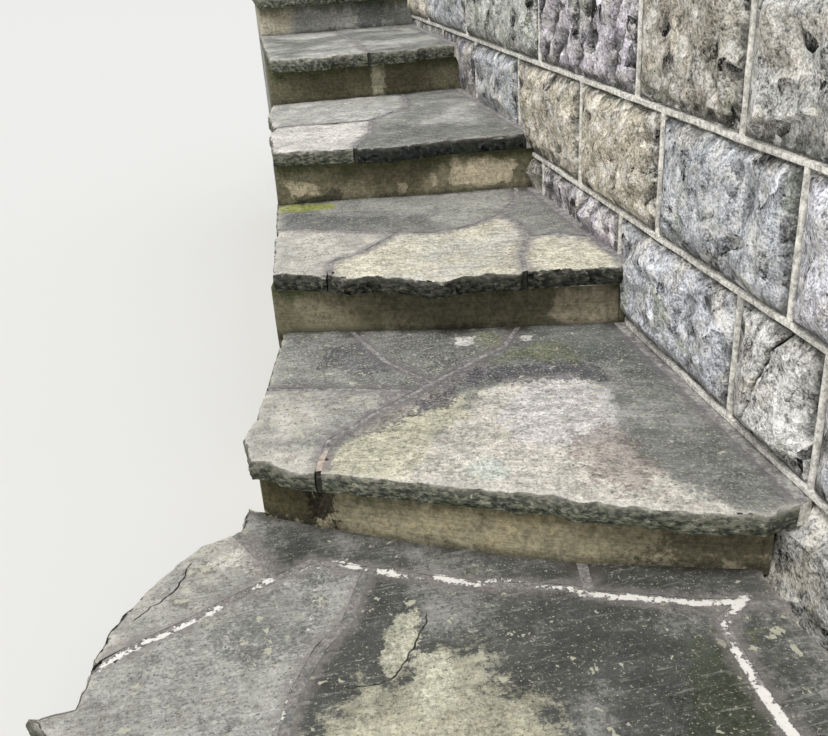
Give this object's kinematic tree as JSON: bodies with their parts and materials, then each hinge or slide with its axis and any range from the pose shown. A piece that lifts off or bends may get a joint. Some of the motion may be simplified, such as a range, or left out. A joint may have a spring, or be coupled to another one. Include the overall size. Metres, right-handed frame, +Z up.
{
  "type": "outdoor stone steps",
  "caption": "Garden flight of broad split flagstone treads on cement-coated risers, with a paved landing, built against a rock-faced ashlar side wall.",
  "frame": {"origin": "on the ground, at the middle of the whole part's length and width", "axes": "+Y runs up the flight along the side wall, +X points into the side wall, +Z is up"},
  "size_m": [1.781, 5.6, 1.589],
  "materials": {
    "flagstone": "weathered split sandstone with lichen",
    "landing_flagstone": "damp dark sandstone with lichen",
    "riser_cement": "trowelled ochre cement, stained",
    "rubble_fill": "rough rubble and mortar",
    "tread_mortar": "grey cement mortar",
    "landing_pointing": "pale worn mortar",
    "wall_sandstone": "rock-faced weathered sandstone",
    "footing_stone": "rough quarried stone",
    "ribbon_pointing": "raised pale mortar ribbon"
  },
  "bodies": {
    "root": {"landing_bed": "rubble_fill", "landing_left_flag": "landing_flagstone", "landing_left_strip": "landing_flagstone", "landing_main_flag": "landing_flagstone", "landing_middle_flag": "landing_flagstone", "landing_mortar": "landing_pointing", "landing_right_flag": "landing_flagstone", "landing_right_strip": "landing_flagstone", "ribbon_pointing": "ribbon_pointing", "riser_1_coat": "riser_cement", "riser_2_coat": "riser_cement", "riser_3_coat": "riser_cement", "riser_4_coat": "riser_cement", "riser_5_coat": "riser_cement", "step_1_fill": "rubble_fill", "step_2_fill": "rubble_fill", "step_3_fill": "rubble_fill", "step_4_fill": "rubble_fill", "step_5_fill": "rubble_fill", "tread_1_back_flag": "flagstone", "tread_1_left_back_flag": "flagstone", "tread_1_left_front_flag": "flagstone", "tread_1_main_flag": "flagstone", "tread_1_mortar": "tread_mortar", "tread_2_back_flag": "flagstone", "tread_2_left_flag": "flagstone", "tread_2_middle_flag": "flagstone", "tread_2_mortar": "tread_mortar", "tread_2_right_back_flag": "flagstone", "tread_2_right_front_flag": "flagstone", "tread_3_left_back_flag": "flagstone", "tread_3_left_front_flag": "flagstone", "tread_3_mortar": "tread_mortar", "tread_3_right_flag": "flagstone", "tread_4_left_flag": "flagstone", "tread_4_mortar": "tread_mortar", "tread_4_right_flag": "flagstone", "tread_5_left_flag": "flagstone", "tread_5_mortar": "tread_mortar", "tread_5_right_flag": "flagstone", "wall_course_b": "wall_sandstone", "wall_course_c": "wall_sandstone", "wall_course_d": "wall_sandstone", "wall_course_e": "wall_sandstone", "wall_footing": "footing_stone"}
  },
  "joints": []
}
